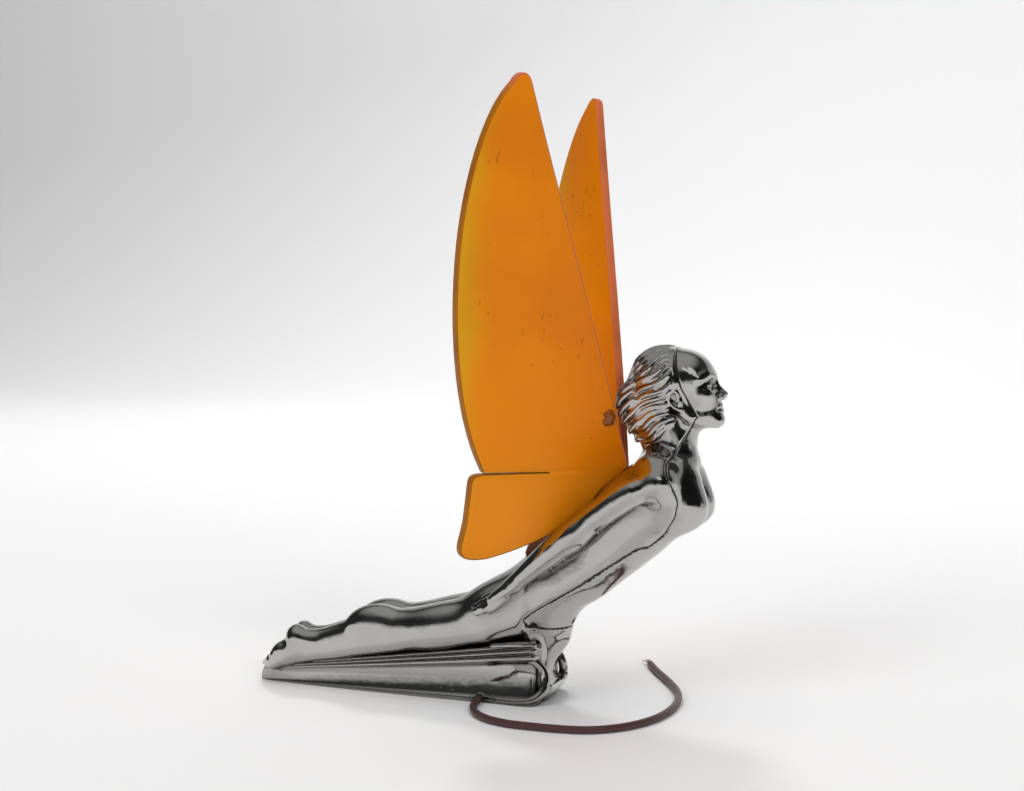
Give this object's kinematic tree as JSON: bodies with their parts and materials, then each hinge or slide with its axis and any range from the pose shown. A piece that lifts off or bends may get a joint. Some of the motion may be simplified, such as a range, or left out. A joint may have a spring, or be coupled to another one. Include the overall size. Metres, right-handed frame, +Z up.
{
  "type": "lit hood ornament",
  "caption": "Chrome figure stretched over a pointed fairing, with upright amber wings that a small bayonet lamp inside lights; it bolts down from below.",
  "frame": {"origin": "on the flat underside of the fairing, on its centre plane, midway between the two mounting inserts", "axes": "+X forwards, the way the figure faces; +Y to the figure's left; +Z up"},
  "size_m": [0.1977, 0.1477, 0.2498],
  "materials": {
    "chrome_plate": "polished, lightly pitted",
    "amber_saddle": "gloss, translucent",
    "amber_wing": "gloss, translucent",
    "brass": "satin",
    "plain_steel": "satin",
    "fibre": "matte",
    "black_glass": "gloss",
    "solder": "satin",
    "clear_glass": "gloss",
    "wire_cover": "matte",
    "strands": "dull copper"
  },
  "bodies": {
    "ornament": {"figure_casting": "chrome_plate", "front_shell": "chrome_plate", "wing_saddle": "amber_saddle", "right_wing": "amber_wing", "left_wing": "amber_wing", "saddle_studs": "brass", "saddle_washers": "plain_steel", "saddle_nuts": "brass", "thread_inserts": "plain_steel", "socket_bracket": "plain_steel", "bracket_screw": "plain_steel", "bracket_washer": "plain_steel", "socket_shell": "brass", "socket_insulator": "fibre", "wire_terminal": "brass", "contact_spring": "plain_steel", "inner_lead": "wire_cover", "lead_wire": "wire_cover", "wire_strands": "strands"},
    "bulb": {"bulb_cap": "brass", "bulb_insulator": "black_glass", "bulb_contact": "solder", "bulb_glass": "clear_glass", "bulb_filament": "plain_steel"},
    "contact": {"contact_plunger": "brass", "contact_disc": "fibre"}
  },
  "joints": [
    {"name": "bulb_turn", "type": "hinge", "parent": "ornament", "child": "bulb", "pos_m": [0.056, 0, 0.0465], "axis": [0.7431, 0, 0.6691], "range_deg": [0, 20]},
    {"name": "contact_travel", "type": "slide", "parent": "ornament", "child": "contact", "axis": [-0.7431, 0, -0.6691], "range_m": [0, 0.0015], "stiffness_N_per_m": 300, "springref_m": -0.002, "deforming": ["contact_spring"]}
  ]
}
